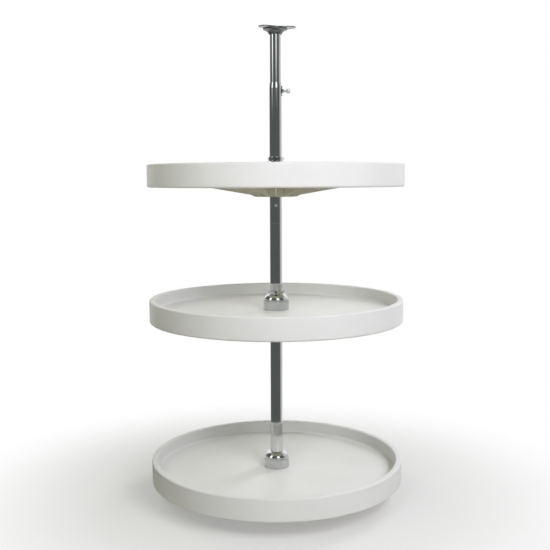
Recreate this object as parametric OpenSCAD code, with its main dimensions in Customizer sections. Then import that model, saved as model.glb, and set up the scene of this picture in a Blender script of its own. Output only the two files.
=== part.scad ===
// Three full-circle trays on a telescoping post, the turning fitting of a pantry cabinet.
// Millimetres, +Z up. The origin is the centre of the floor flange's underside, on the post's axis.
// -Y is the front. The post stands still, and each tray turns on its own bearing.

/* [Cabinet] */
// Height from the cabinet's floor to its ceiling
cabinet_h = 936.5; // [915:0.5:980]

/* [Tray heights] */
// Height of the bottom tray's rim above the cabinet's floor
bottom_rim_z = 79.5; // [78:0.5:100]
// Rise from the bottom tray's rim to the middle tray's rim
middle_rise = 325.8; // [280:0.2:350]
// Rise from the middle tray's rim to the top tray's rim
top_rise = 266.1; // [264:0.1:290]

/* [Tray] */
// Diameter of a tray
tray_d = 508; // [420:1:700]
// Height of the rim's outer band
rim_h = 44.5; // [36:0.5:56]
// Depth of a tray, from the rim's top to its floor
tray_depth = 24.5; // [16:0.5:32]
// Width of the rim's hollow lip
lip_w = 12; // [10:0.5:18]
// Radius of the lip's two top edges
lip_edge_r = 3; // [1.5:0.1:4]
// Radius of the band's rolled bottom edge
band_edge_r = 4; // [3.2:0.1:6]
// Wall thickness of the rim
rim_wall = 2.5; // [1.8:0.1:3]
// Thickness of a tray's floor
floor_t = 3; // [2:0.1:5]
// Draft of the rim's inner wall, measured at the floor
rim_draft = 0.8; // [0:0.1:2]
// Fillet between the rim's inner wall and the floor
floor_fillet_r = 3; // [1:0.1:5]

/* [Tray underside] */
// Height of the centre boss, from its flat underside to the floor's top
boss_h = 39; // [34:0.5:46]
// Radius of the boss's flat underside
boss_flat_r = 43; // [40:0.5:50]
// Wall thickness of the boss
boss_wall = 3; // [2:0.1:4]
// Number of radial ribs
rib_count = 16; // [8:1:24]
// Thickness of a rib
rib_t = 2.4; // [1.6:0.1:4]
// Distance from the rim's band at which a rib has run out into the floor
rib_stop = 18; // [14:1:40]
// Height of the rounded step where the ribs leave the boss
rib_step_h = 3.5; // [2:0.1:6]
// Width of that step
rib_step_w = 7; // [4:0.5:12]

/* [Bearing] */
// Wall thickness of the tray's nylon bush
bush_wall = 3.25; // [2.5:0.05:4]
// Thickness of the bush's flange
bush_flange_t = 3; // [2.6:0.1:5]
// Thickness of the nylon thrust washer
washer_t = 2.5; // [1.5:0.1:4]
// Radius of the bush's flange and of the seat below it
thrust_r = 30; // [28:0.5:32]
// Thickness of a carrier's bottom flange
carrier_flange_t = 3; // [2:0.1:5]
// Wall thickness of a carrier's sleeve
carrier_wall = 1.95; // [1.6:0.05:2.4]
// Height of a carrier's neck above the tray's floor
neck_h = 39.5; // [38:0.1:46]

/* [Hub] */
// Outer radius of a hub's knurled ring
hub_r = 25.4; // [25:0.1:30]
// Height of the ring
hub_ring_h = 20.5; // [16:0.1:22]
// Height of the dome above the ring
hub_dome_h = 12.2; // [9:0.1:12.4]
// Number of knurl teeth round the ring
knurl_count = 60; // [36:1:80]
// Depth of the knurl
knurl_depth = 0.6; // [0.3:0.05:0.9]
// Width of the plain bead above and below the knurl
hub_bead_h = 1.6; // [1:0.1:3]
// Radius of the circle that the hub screws lie on
hub_screw_pcr = 21.3; // [21.1:0.1:21.8]

/* [Post] */
// Outer diameter of the post's two outer tubes
post_d = 25.4; // [24.8:0.1:26]
// Wall thickness of the outer tubes
post_wall = 1.5; // [1.2:0.05:1.8]
// Wall thickness of the inner tube
inner_wall = 1.2; // [1:0.05:1.6]
// Height of the post's mouth above the top tray's rim
mouth_rise = 159.6; // [150:0.1:175]
// Length over which the post's mouth tapers
mouth_taper_l = 9.5; // [4:0.1:12]
// Wall left at the very edge of the mouth
mouth_lip = 0.5; // [0.3:0.05:1]
// Length of the inner tube inside the post
inner_overlap = 119; // [110:1:124]

/* [Post joint] */
// Distance of the joint between the two outer tubes below the top tray's boss
seam_drop = 52.9; // [48:0.1:80]
// Length of the spigot below the joint
spigot_below = 50; // [44:1:70]
// Length of the spigot above the joint
spigot_above = 60; // [52:1:64]
// Wall thickness of the spigot
spigot_wall = 1.5; // [1:0.1:2]
// Height of the snap button above the joint
button_rise = 36.1; // [34:0.1:38]
// Diameter of the snap button
button_d = 6.4; // [5:0.1:7]
// Distance that the button stands out of the post
button_proud = 1.9; // [1:0.1:2.4]
// Diameter of the pin that holds the spigot
spigot_pin_d = 3; // [2:0.1:4]

/* [Lock screw] */
// Distance of the lock screw below the post's mouth
lock_drop = 16.3; // [15:0.1:20]
// Diameter of the lock screw's thread
lock_d = 6; // [5:0.1:6.4]
// Diameter of its thumb head
lock_head_d = 9.2; // [8:0.1:14]
// Length of its thumb head
lock_head_l = 8; // [6:0.1:14]
// Length of plain shank between the nut boss and the head
lock_shank_l = 6; // [4:0.1:10]
// Height of the nut boss on the post
nut_boss_h = 20; // [16:0.5:24]
// Width of the nut boss
nut_boss_w = 13; // [11:0.5:16]

/* [Ceiling plate] */
// Thickness of the ceiling plate
plate_t = 2.5; // [2:0.1:4]
// Radius of the circle that its three screw holes lie on
plate_hole_pcr = 30; // [27:0.5:40]
// Radius of the plate's screw holes
plate_hole_r = 2.6; // [2:0.1:3.2]
// Radius of the round end of a lobe
lobe_r = 11.5; // [8:0.5:14]
// Direction of the first lobe, in degrees from +X
lobe_turn = 345; // [0:1:359]
// Height of the collar that holds the inner tube
collar_h = 8; // [6:0.5:12]
// Radius of the collar where it meets the plate
collar_r = 18.5; // [16:0.5:21]

/* [Floor flange] */
// Radius of the floor flange's plate
flange_r = 55; // [52:0.5:70]
// Thickness of that plate
flange_t = 3; // [2.5:0.1:6]
// Radius of the circle that its screw holes lie on
flange_hole_pcr = 44; // [42:0.5:46]
// Radius of the flange's screw holes
flange_hole_r = 2.75; // [2:0.05:3.5]
// Number of screw holes in the floor flange
flange_hole_count = 4; // [3:1:6]

/* [Hidden] */
$fn = 96;

// Clearances
run_fit = 0.05;        // radial, between a journal and its bush and between the sliding tubes
seat_fit = 0.05;       // radial, between pieces that are fixed in each other
thrust_gap = 0.2;      // axial, between the thrust washer and the bush's flange
open_gap = 0.5;        // radial, between the hub and what it turns round
recess_gap = 2;        // radial, between the carrier's flange and the boss's recess
recess_clear = 1.3;    // axial, between the carrier's flange and the boss's underside
cut = 1;               // length by which a cutting solid runs past a face

// Radii that fit in each other, from the post outwards
post_r = post_d / 2;
post_bore_r = post_r - post_wall;
inner_r = post_bore_r - run_fit;
inner_bore_r = inner_r - inner_wall;
spigot_r = post_bore_r - seat_fit;
spigot_bore_r = spigot_r - spigot_wall;
sleeve_bore_r = post_r + run_fit;
sleeve_r = sleeve_bore_r + carrier_wall;
bush_bore_r = sleeve_r + run_fit;
bush_r = bush_bore_r + bush_wall;
tray_bore_r = bush_r + seat_fit;
hub_bore_r = sleeve_r + open_gap;

// Heights inside a tray, from its boss's flat underside
tray_h = boss_h + tray_depth;
rim_base_z = tray_h - rim_h;
recess_h = recess_clear + carrier_flange_t + washer_t + thrust_gap + bush_flange_t;
recess_r = thrust_r + recess_gap;
under_floor_z = boss_h - floor_t;

// Heights in the assembly
bottom_boss_z = bottom_rim_z - tray_h;
middle_boss_z = bottom_boss_z + middle_rise;
top_boss_z = middle_boss_z + top_rise;
mouth_z = top_boss_z + tray_h + mouth_rise;
seam_z = top_boss_z - seam_drop;
button_z = seam_z + button_rise;
lock_z = mouth_z - lock_drop;
plate_z = cabinet_h - plate_t;
pedestal_z = bottom_boss_z + recess_clear + carrier_flange_t;

// Small hardware
set_screw_d = 5;
set_screw_proud = 2.3;
hub_screw_d = 4;
hub_screw_head_r = 3.9;
hub_screw_bite = 9;
screw_tube_wall = 2.4;
web_back = 1;          // ribs end this far above the bush's flange, and screw tubes twice as far
hex_key = 2.5;
hex_depth = 2;
edge = 0.6;            // small chamfer on metal edges
hub_screw_rim = 0.3;   // straight rim of a countersunk head
hub_screw_short = 1;   // a hub screw ends this far short of its hole
tray_hole_play = 0.2;  // radial, round a hub screw in the tray
bush_hole_play = 0.1;  // radial, round a hub screw in the bush's flange
screw_margin = 1;      // metal left between a set screw's hole and its sleeve's end
hub_dome_run = 13.4;   // horizontal half-axis of the dome's ellipse
hub_throat_drop = 4;   // depth of the cone inside the dome's mouth
band_root = 1;         // metal left under the knurl
washer_inset = 1;      // the washer's edge lies this far inside its seat's
third = 120;           // angle between three like features

// Points on an arc of radius r round (x, y), from angle a0 to a1
function arc(x, y, r, a0, a1, steps = 6) =
    [for (i = [0:steps]) let (a = a0 + (a1 - a0) * i / steps) [x + r * cos(a), y + r * sin(a)]];

module ring(r_out, r_in, z0, z1) {
    translate([0, 0, z0])
        difference() {
            cylinder(r = r_out, h = z1 - z0);
            translate([0, 0, -cut]) cylinder(r = r_in, h = z1 - z0 + 2 * cut);
        }
}

module three_times(a0) {
    for (i = [0:2]) rotate([0, 0, a0 + i * third]) children();
}

// ---------------------------------------------------------------- trays

// Half section of a tray: lip, band, floor, bearing tube and boss wall in one line
module tray_section() {
    r_out = tray_d / 2;
    wall_r = r_out - lip_w;
    fillet_x = wall_r - rim_draft - floor_fillet_r;
    roll_r = band_edge_r - rim_wall;
    roll_x = r_out - band_edge_r;
    roll_z = rim_base_z + band_edge_r;
    tube_r = tray_bore_r + boss_wall;
    polygon(concat(
        arc(roll_x, roll_z, band_edge_r, -90, 0),
        arc(r_out - lip_edge_r, tray_h - lip_edge_r, lip_edge_r, 0, 90),
        arc(wall_r + lip_edge_r, tray_h - lip_edge_r, lip_edge_r, 90, 180),
        arc(fillet_x, boss_h + floor_fillet_r, floor_fillet_r, 0, -90),
        [[tray_bore_r, boss_h], [tray_bore_r, recess_h], [tube_r, recess_h]],
        [[tube_r, under_floor_z], [boss_flat_r - boss_wall, under_floor_z]],
        [[boss_flat_r - boss_wall, 0], [boss_flat_r, 0]],
        [[boss_flat_r, under_floor_z], [wall_r + rim_wall, under_floor_z]],
        [[wall_r + rim_wall, tray_h - rim_wall], [r_out - rim_wall, tray_h - rim_wall]],
        arc(roll_x, roll_z, roll_r, 0, -90),
        [[roll_x - rim_wall, rim_base_z + rim_wall], [roll_x - rim_wall, rim_base_z]]
    ));
}

// One radial rib under the floor; its lower edge rises from the boss and runs out into the floor
module tray_rib() {
    tube_r = tray_bore_r + boss_wall / 2;
    step_r = boss_flat_r - boss_wall / 4;
    rise = (under_floor_z - rib_step_h) / (tray_d / 2 - rib_stop - step_r - rib_step_w);
    root = floor_t / 4;
    rotate([90, 0, 0])
        translate([0, 0, -rib_t / 2])
            linear_extrude(rib_t)
                polygon([
                    [tube_r, under_floor_z + root],
                    [tube_r, recess_h + web_back],
                    [recess_r, recess_h + web_back],
                    [recess_r, 0],
                    [step_r, 0],
                    [step_r + rib_step_w, rib_step_h],
                    [tray_d / 2 - rib_stop + root / rise, under_floor_z + root]
                ]);
}

module tray(boss_z) {
    hole_r = hub_screw_d / 2 + tray_hole_play;
    screw_tube_z = recess_h + 2 * web_back;
    translate([0, 0, boss_z])
        difference() {
            union() {
                rotate_extrude() tray_section();
                for (i = [0:rib_count - 1]) rotate([0, 0, i * 360 / rib_count]) tray_rib();
                three_times(90)
                    translate([hub_screw_pcr, 0, screw_tube_z])
                        cylinder(r = hole_r + screw_tube_wall, h = boss_h - floor_t / 2 - screw_tube_z);
            }
            translate([0, 0, -cut]) cylinder(r = tray_bore_r, h = boss_h + 2 * cut);
            three_times(90)
                translate([hub_screw_pcr, 0, 0]) cylinder(r = hole_r, h = boss_h + cut);
        }
}

// Plain bearing pressed up into the boss, with its flange under the bearing tube
module bush(boss_z) {
    flange_z = recess_h - bush_flange_t;
    hole_r = hub_screw_d / 2 + bush_hole_play;
    translate([0, 0, boss_z])
        difference() {
            rotate_extrude()
                polygon([
                    [bush_bore_r + edge, flange_z],
                    [thrust_r, flange_z],
                    [thrust_r, recess_h],
                    [bush_r, recess_h],
                    [bush_r, boss_h],
                    [bush_bore_r, boss_h],
                    [bush_bore_r, flange_z + edge]
                ]);
            three_times(90)
                translate([hub_screw_pcr, 0, flange_z]) {
                    translate([0, 0, -cut]) cylinder(r = hole_r, h = bush_flange_t + 2 * cut);
                    hub_screw_head(bush_hole_play);
                }
        }
}

// Countersunk head, widest at z = 0, grown by play for the hole that takes it
module hub_screw_head(play) {
    shank_r = hub_screw_d / 2 + play;
    head_r = hub_screw_head_r + play;
    neck_z = hub_screw_rim + head_r - shank_r;
    rotate_extrude()
        polygon([[0, 0], [head_r, 0], [head_r, hub_screw_rim], [shank_r, neck_z], [0, neck_z]]);
}

// Three countersunk screws that clamp bush, tray and hub together from below
module hub_screws(boss_z) {
    head_z = recess_h - bush_flange_t;
    tip_z = boss_h + hub_screw_bite - hub_screw_short;
    translate([0, 0, boss_z])
        three_times(90)
            translate([hub_screw_pcr, 0, head_z])
                difference() {
                    union() {
                        hub_screw_head(0);
                        cylinder(r = hub_screw_d / 2, h = tip_z - head_z);
                    }
                    translate([0, 0, -cut]) cylinder(d = hex_key, h = hex_depth + cut, $fn = 6);
                }
}

// Thrust washer that lies on a carrier's flange or on the floor flange's pedestal
module thrust_washer(boss_z) {
    seat_z = boss_z + recess_clear + carrier_flange_t;
    ring(thrust_r - washer_inset, sleeve_r + open_gap, seat_z, seat_z + washer_t);
}

// ---------------------------------------------------------------- hubs

// Half section of a hub over its bore: bead, ring, bead and a dome that is a quarter ellipse
module hub_section(bore_r, top_r) {
    dome_x = hub_r - knurl_depth - edge - hub_dome_run;
    valley_r = hub_r - knurl_depth;
    throat_z = hub_ring_h + hub_dome_h - hub_throat_drop;
    last = acos((top_r - dome_x) / hub_dome_run);
    dome = [for (i = [0:10]) let (a = last * i / 10)
        [dome_x + hub_dome_run * cos(a), hub_ring_h + hub_dome_h * sin(a)]];
    polygon(concat(
        [[bore_r, 0], [valley_r, 0], [valley_r, hub_ring_h]],
        dome,
        top_r < bore_r ? [[top_r, throat_z + (bore_r - top_r)], [bore_r, throat_z]] : []
    ));
}

// Toothed band round the ring, with plain beads above and below it
module hub_band() {
    teeth = [for (i = [0:2 * knurl_count - 1])
        let (r = i % 2 == 0 ? hub_r : hub_r - knurl_depth, a = 180 * i / knurl_count)
        [r * cos(a), r * sin(a)]];
    band_in = hub_r - knurl_depth - band_root;
    translate([0, 0, hub_bead_h])
        linear_extrude(hub_ring_h - 2 * hub_bead_h)
            difference() {
                polygon(teeth);
                circle(r = band_in);
            }
    for (z = [0, hub_ring_h - hub_bead_h]) ring(hub_r - knurl_depth / 3, band_in, z, z + hub_bead_h);
}

module hub(boss_z, top_r) {
    translate([0, 0, boss_z + boss_h])
        difference() {
            union() {
                rotate_extrude() hub_section(hub_bore_r, top_r);
                hub_band();
            }
            three_times(90)
                translate([hub_screw_pcr, 0, -cut])
                    cylinder(r = hub_screw_d / 2 + seat_fit, h = hub_screw_bite + cut);
        }
}

// ---------------------------------------------------------------- carriers

// Sleeve that is clamped to the post at any height and carries one tray on its flange
module carrier_sleeve(boss_z) {
    top_z = boss_h + neck_h;
    screw_z = boss_h + neck_h - set_screw_d / 2 - screw_margin;
    seat_z = recess_clear + carrier_flange_t;
    translate([0, 0, boss_z])
        difference() {
            rotate_extrude()
                polygon([
                    [sleeve_bore_r, recess_clear],
                    [thrust_r - edge, recess_clear],
                    [thrust_r, recess_clear + edge],
                    [thrust_r, seat_z],
                    [sleeve_r, seat_z],
                    [sleeve_r, top_z - edge],
                    [sleeve_r - edge, top_z],
                    [sleeve_bore_r, top_z]
                ]);
            three_times(-90)
                translate([sleeve_bore_r - cut, 0, screw_z])
                    rotate([0, 90, 0]) cylinder(d = set_screw_d + 2 * seat_fit, h = carrier_wall + 2 * cut);
        }
}

// Socket-headed set screw along +X, from radius r0 to radius r1
module set_screw(r0, r1) {
    translate([r0, 0, 0])
        rotate([0, 90, 0])
            difference() {
                cylinder(d = set_screw_d, h = r1 - r0);
                translate([0, 0, r1 - r0 - hex_depth]) cylinder(d = hex_key, h = hex_depth + cut, $fn = 6);
            }
}

module set_screws(boss_z) {
    screw_z = boss_z + boss_h + neck_h - set_screw_d / 2 - screw_margin;
    three_times(-90)
        translate([0, 0, screw_z]) set_screw(post_r + 2 * run_fit, sleeve_r + set_screw_proud);
}

// ---------------------------------------------------------------- floor flange

socket_drop = 5.5;     // the socket ends this far below the bottom hub's top
pedestal_wall = 5;     // metal round the socket, below the bottom tray
flange_fillet = 2;     // chamfer between the flange's plate and its pedestal
seat_rim = 1;          // rim of the pedestal's seat, below the washer
seat_flare = 3;        // height of the cone under that seat
grub_rise = 6;         // height of the grub screw above the plate
socket_top_z = bottom_boss_z + boss_h + hub_ring_h + hub_dome_h - socket_drop;
pedestal_neck_r = sleeve_r + pedestal_wall;
grub_z = flange_t + grub_rise;

module floor_flange() {
    pedestal_edge_z = pedestal_z - carrier_flange_t - seat_rim;
    color("#9a9d9e")
        difference() {
            rotate_extrude()
                polygon([
                    [0, 0],
                    [flange_r - edge, 0],
                    [flange_r, edge],
                    [flange_r, flange_t],
                    [pedestal_neck_r + flange_fillet, flange_t],
                    [pedestal_neck_r, flange_t + flange_fillet],
                    [pedestal_neck_r, pedestal_edge_z - seat_flare],
                    [thrust_r, pedestal_edge_z],
                    [thrust_r, pedestal_z],
                    [sleeve_r, pedestal_z],
                    [sleeve_r, socket_top_z - edge],
                    [sleeve_r - edge, socket_top_z],
                    [post_r + seat_fit, socket_top_z],
                    [post_r + seat_fit, flange_t],
                    [0, flange_t]
                ]);
            for (i = [0:flange_hole_count - 1])
                rotate([0, 0, 45 + i * 360 / flange_hole_count])
                    translate([flange_hole_pcr, 0, -cut])
                        cylinder(r = flange_hole_r, h = flange_t + 2 * cut);
            rotate([0, 0, -90])
                translate([post_r - cut, 0, grub_z])
                    rotate([0, 90, 0])
                        cylinder(d = set_screw_d + 2 * seat_fit, h = pedestal_neck_r - post_r + 2 * cut);
        }
}

module flange_grub_screw() {
    color("#2b2c2d")
        rotate([0, 0, -90])
            translate([0, 0, grub_z]) set_screw(post_r + 2 * seat_fit, pedestal_neck_r);
}

// ---------------------------------------------------------------- post

module lower_post_tube() {
    pin_z = seam_z - spigot_below / 2;
    color("#c4c8ca")
        difference() {
            ring(post_r, post_bore_r, flange_t, seam_z);
            translate([0, 0, pin_z]) rotate([0, 90, 0])
                cylinder(d = spigot_pin_d + 2 * seat_fit, h = 3 * post_d, center = true);
        }
}

module upper_post_tube() {
    color("#c4c8ca")
        difference() {
            rotate_extrude()
                polygon([
                    [post_bore_r, seam_z],
                    [post_r, seam_z],
                    [post_r, mouth_z - mouth_taper_l],
                    [post_bore_r + mouth_lip, mouth_z],
                    [post_bore_r, mouth_z]
                ]);
            translate([0, 0, button_z]) rotate([90, 0, 0])
                cylinder(d = button_d + 2 * run_fit, h = post_d);
            translate([0, 0, lock_z]) rotate([0, 90, 0])
                cylinder(d = lock_d + 2 * run_fit, h = post_d);
        }
}

module joint_spigot() {
    pin_z = seam_z - spigot_below / 2;
    color("#b0b3b4")
        difference() {
            ring(spigot_r, spigot_bore_r, seam_z - spigot_below, seam_z + spigot_above);
            translate([0, 0, button_z]) rotate([90, 0, 0])
                cylinder(d = button_d + 2 * run_fit, h = post_d);
            translate([0, 0, pin_z]) rotate([0, 90, 0])
                cylinder(d = spigot_pin_d + 2 * seat_fit, h = 3 * post_d, center = true);
        }
}

pin_back = 0.2;        // the pin's ends lie this far inside the tube's surface

// Pin across the lower tube and the spigot, ground flush with the tube
module spigot_pin() {
    pin_z = seam_z - spigot_below / 2;
    color("#b0b3b4")
        translate([0, 0, pin_z]) rotate([0, 90, 0])
            cylinder(d = spigot_pin_d, h = post_d - 2 * pin_back, center = true);
}

// ---------------------------------------------------------------- snap button

button_flange_t = 1;
button_flange_w = 1.2;   // how far the flange stands out round the pin
flange_play = 0.1;
button_flange_r = button_d / 2 + button_flange_w;
button_flange_y = sqrt(pow(spigot_bore_r, 2) - pow(button_flange_r, 2)) - flange_play;
button_dome_h = 1.2;
spring_w = 6;
spring_t = 0.6;
spring_play = 0.05;
spring_drop = 18;      // from the button down to the middle of the spring's bend
front_leg_rise = 4;    // height of the spring's front leg above the button's axis
back_leg_rise = 8;     // height of its rear leg above the button's axis

// Domed pin that stands out of the post on the front side, with its flange inside the spigot
module snap_button() {
    tip_y = post_r + button_proud;
    base_y = button_flange_y - button_flange_t;
    color("#d2d5d6")
        translate([0, 0, button_z]) rotate([90, 0, 0])
            rotate_extrude()
                polygon(concat(
                    [[0, base_y], [button_flange_r, base_y], [button_flange_r, button_flange_y]],
                    [[button_d / 2, button_flange_y], [button_d / 2, tip_y - button_dome_h]],
                    [for (a = [15:15:75]) [button_d / 2 * cos(a), tip_y - button_dome_h * (1 - sin(a))]],
                    [[0, tip_y]]
                ));
}

// U-shaped strip between the button and the spigot's rear wall
module snap_spring() {
    front_y = -(button_flange_y - button_flange_t) + spring_play;
    back_y = sqrt(pow(spigot_bore_r, 2) - pow(spring_w / 2, 2)) - spring_play;
    mid_y = (front_y + back_y) / 2;
    bend_r = (back_y - front_y) / 2;
    bend_z = button_z - spring_drop;
    front_z = button_z + front_leg_rise;
    back_z = button_z + back_leg_rise;
    color("#8f9496")
        rotate([90, 0, 90])
            translate([0, 0, -spring_w / 2])
                linear_extrude(spring_w)
                    polygon(concat(
                        [[front_y, front_z]],
                        arc(mid_y, bend_z, bend_r, 180, 360, 12),
                        [[back_y, back_z], [back_y - spring_t, back_z]],
                        arc(mid_y, bend_z, bend_r - spring_t, 360, 180, 12),
                        [[front_y + spring_t, front_z]]
                    ));
}

// ---------------------------------------------------------------- telescoping tube and ceiling plate

module inner_tube() {
    color("#cfd2d4") ring(inner_r, inner_bore_r, mouth_z - inner_overlap, plate_z);
}

plug_l = 24;
plug_neck_r = 5;

// Stub inside the inner tube, riveted through the ceiling plate's centre
module tube_plug() {
    color("#9a9d9e")
        rotate_extrude()
            polygon([
                [0, plate_z - plug_l],
                [inner_bore_r - seat_fit - edge, plate_z - plug_l],
                [inner_bore_r - seat_fit, plate_z - plug_l + edge],
                [inner_bore_r - seat_fit, plate_z],
                [plug_neck_r, plate_z],
                [plug_neck_r, cabinet_h],
                [0, cabinet_h]
            ]);
}

// Outline of one arm: the two outer tangents between the centre disc and the lobe's end
module lobe_arm(centre_r) {
    tilt = acos((centre_r - lobe_r) / plate_hole_pcr);
    polygon([
        [0, 0],
        [centre_r * cos(tilt), centre_r * sin(tilt)],
        [plate_hole_pcr + lobe_r * cos(tilt), lobe_r * sin(tilt)],
        [plate_hole_pcr + lobe_r * cos(tilt), -lobe_r * sin(tilt)],
        [centre_r * cos(tilt), -centre_r * sin(tilt)]
    ]);
    translate([plate_hole_pcr, 0]) circle(r = lobe_r);
}

plate_margin = 2;      // width of the plate's disc outside the collar
collar_lip = 1.4;      // wall at the collar's lower edge
collar_lip_h = 1.5;    // height of the collar's lower chamfer
collar_flare = 2;      // width and height of the flare under the plate

module ceiling_plate() {
    centre_r = collar_r + plate_margin;
    socket_r = inner_r + seat_fit;
    color("#4b4e4e")
        difference() {
            union() {
                translate([0, 0, plate_z])
                    linear_extrude(plate_t) {
                        circle(r = centre_r);
                        three_times(lobe_turn) lobe_arm(centre_r);
                    }
                rotate_extrude()
                    polygon([
                        [socket_r, plate_z - collar_h],
                        [socket_r + collar_lip, plate_z - collar_h],
                        [socket_r + collar_flare, plate_z - collar_h + collar_lip_h],
                        [collar_r - collar_flare, plate_z - collar_flare],
                        [collar_r, plate_z + plate_t / 2],
                        [socket_r, plate_z + plate_t / 2]
                    ]);
            }
            translate([0, 0, plate_z - cut]) cylinder(r = plug_neck_r + seat_fit, h = plate_t + 2 * cut);
            translate([0, 0, plate_z - collar_h - cut]) cylinder(r = socket_r, h = collar_h + cut);
            three_times(lobe_turn)
                translate([plate_hole_pcr, 0, plate_z - cut])
                    cylinder(r = plate_hole_r, h = plate_t + 2 * cut);
        }
}

// ---------------------------------------------------------------- lock screw

nut_boss_t = 1.6;
nut_neck_wall = 1.6;
nut_neck_l = 2.9;      // from the post's skin to the neck's face
nut_neck_r = lock_d / 2 + nut_neck_wall;
nut_neck_x = post_r + nut_neck_l;
pad_tip_x = post_bore_r;
pad_stand = 0.7;       // how far the soft tip reaches past the post's skin
pad_end_x = post_r + pad_stand;
pad_play = 0.2;        // radial, round the soft tip
grip_count = 24;       // knurl teeth on the thumb head
grip_depth = 0.8;      // taken off the head's diameter between two teeth
cap_inset = 0.5;       // the head's domed end lies this far inside its teeth
cap_h = 1.4;           // height of that dome
head_x = nut_neck_x + lock_shank_l;

// Saddle on the post's side with a threaded neck for the lock screw
module lock_nut_boss() {
    side = nut_boss_h - nut_boss_w;
    saddle_r = post_r + seat_fit;
    color("#b9bdbf")
        difference() {
            intersection() {
                union() {
                    ring(post_r + nut_boss_t, saddle_r - cut, lock_z - nut_boss_h, lock_z + nut_boss_h);
                    translate([0, 0, lock_z]) rotate([0, 90, 0]) cylinder(r = nut_neck_r, h = nut_neck_x);
                }
                translate([0, 0, lock_z]) rotate([90, 0, 90])
                    linear_extrude(2 * post_d) {
                        square([nut_boss_w, side], center = true);
                        for (s = [-1, 1]) translate([0, s * side / 2]) circle(d = nut_boss_w);
                    }
            }
            translate([0, 0, lock_z - nut_boss_h - cut])
                cylinder(r = saddle_r, h = 2 * nut_boss_h + 2 * cut);
            translate([0, 0, lock_z]) rotate([0, 90, 0]) cylinder(d = lock_d + 2 * run_fit, h = 2 * post_d);
        }
}

// Soft tip between the lock screw and the inner tube
module lock_pad() {
    color("#ece9df")
        translate([pad_tip_x, 0, lock_z]) rotate([0, 90, 0])
            cylinder(d = lock_d - 2 * pad_play, h = pad_end_x - pad_tip_x);
}

module lock_screw() {
    grip = [for (i = [0:2 * grip_count - 1])
        let (r = (i % 2 == 0 ? lock_head_d : lock_head_d - grip_depth) / 2, a = 180 * i / grip_count)
        [r * cos(a), r * sin(a)]];
    cap_r = lock_head_d / 2 - cap_inset;
    grip_l = lock_head_l - cap_h;
    color("#c9cccd")
        translate([0, 0, lock_z]) rotate([0, 90, 0]) {
            translate([0, 0, pad_end_x]) cylinder(d = lock_d, h = head_x - pad_end_x + cap_inset);
            translate([0, 0, head_x]) linear_extrude(grip_l) polygon(grip);
            translate([0, 0, head_x + grip_l])
                rotate_extrude()
                    polygon(concat([[0, -cap_inset], [cap_r, -cap_inset]],
                        [for (a = [0:15:75]) [cap_r * cos(a), cap_h * sin(a)]], [[0, cap_h]]));
        }
}

// ---------------------------------------------------------------- named pieces

polymer = "#e2e2dc";
chrome = "#c6cacc";
nylon = "#ecebe4";
blackened = "#2b2c2d";

module floor_thrust_washer() { color(nylon) thrust_washer(bottom_boss_z); }
module bottom_tray() { color(polymer) tray(bottom_boss_z); }
module bottom_bush() { color(nylon) bush(bottom_boss_z); }
module bottom_hub() { color(chrome) hub(bottom_boss_z, post_r + open_gap); }
module bottom_hub_screws() { color(blackened) hub_screws(bottom_boss_z); }

module middle_sleeve() { color(chrome) carrier_sleeve(middle_boss_z); }
module middle_set_screws() { color(blackened) set_screws(middle_boss_z); }
module middle_thrust_washer() { color(nylon) thrust_washer(middle_boss_z); }
module middle_tray() { color(polymer) tray(middle_boss_z); }
module middle_bush() { color(nylon) bush(middle_boss_z); }
module middle_hub() { color(chrome) hub(middle_boss_z, hub_bore_r); }
module middle_hub_screws() { color(blackened) hub_screws(middle_boss_z); }

module top_sleeve() { color(chrome) carrier_sleeve(top_boss_z); }
module top_set_screws() { color(blackened) set_screws(top_boss_z); }
module top_thrust_washer() { color(nylon) thrust_washer(top_boss_z); }
module top_tray() { color(polymer) tray(top_boss_z); }
module top_bush() { color(nylon) bush(top_boss_z); }
module top_hub() { color(chrome) hub(top_boss_z, hub_bore_r); }
module top_hub_screws() { color(blackened) hub_screws(top_boss_z); }

floor_flange();
floor_thrust_washer();
lower_post_tube();
upper_post_tube();
joint_spigot();
spigot_pin();
snap_spring();
flange_grub_screw();
lock_nut_boss();
bottom_tray();
bottom_bush();
bottom_hub();
bottom_hub_screws();
middle_sleeve();
middle_set_screws();
middle_thrust_washer();
middle_tray();
middle_bush();
middle_hub();
middle_hub_screws();
top_sleeve();
top_set_screws();
top_thrust_washer();
top_tray();
top_bush();
top_hub();
top_hub_screws();
inner_tube();
tube_plug();
ceiling_plate();
lock_pad();
lock_screw();
snap_button();
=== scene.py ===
"""Visual model of a three-tray turning fitting for a pantry cabinet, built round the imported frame.

Sizes are millimetres until a mesh is written, in the frame of the CAD: +Z runs up the post's axis and
-Y is the front. Every new piece is one Skin, made of grids of points that are worked out as whole
arrays. The CAD nodes that stay only get materials.
"""
import math

import bmesh
import bpy
import numpy as np
from mathutils import Matrix, Vector


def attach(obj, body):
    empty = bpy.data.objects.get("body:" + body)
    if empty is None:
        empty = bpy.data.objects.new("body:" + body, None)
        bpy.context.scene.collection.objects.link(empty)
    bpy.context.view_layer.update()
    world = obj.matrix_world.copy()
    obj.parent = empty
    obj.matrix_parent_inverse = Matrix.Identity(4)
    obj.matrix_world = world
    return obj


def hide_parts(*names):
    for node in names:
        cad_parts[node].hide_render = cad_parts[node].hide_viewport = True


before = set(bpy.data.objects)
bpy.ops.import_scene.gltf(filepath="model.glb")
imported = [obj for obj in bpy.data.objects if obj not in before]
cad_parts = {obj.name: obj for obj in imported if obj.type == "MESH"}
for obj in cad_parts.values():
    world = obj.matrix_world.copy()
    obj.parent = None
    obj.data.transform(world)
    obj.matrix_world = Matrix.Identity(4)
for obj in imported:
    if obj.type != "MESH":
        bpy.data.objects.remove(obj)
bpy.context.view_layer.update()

MM = 0.001

# ---------------------------------------------------------------- camera

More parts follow.
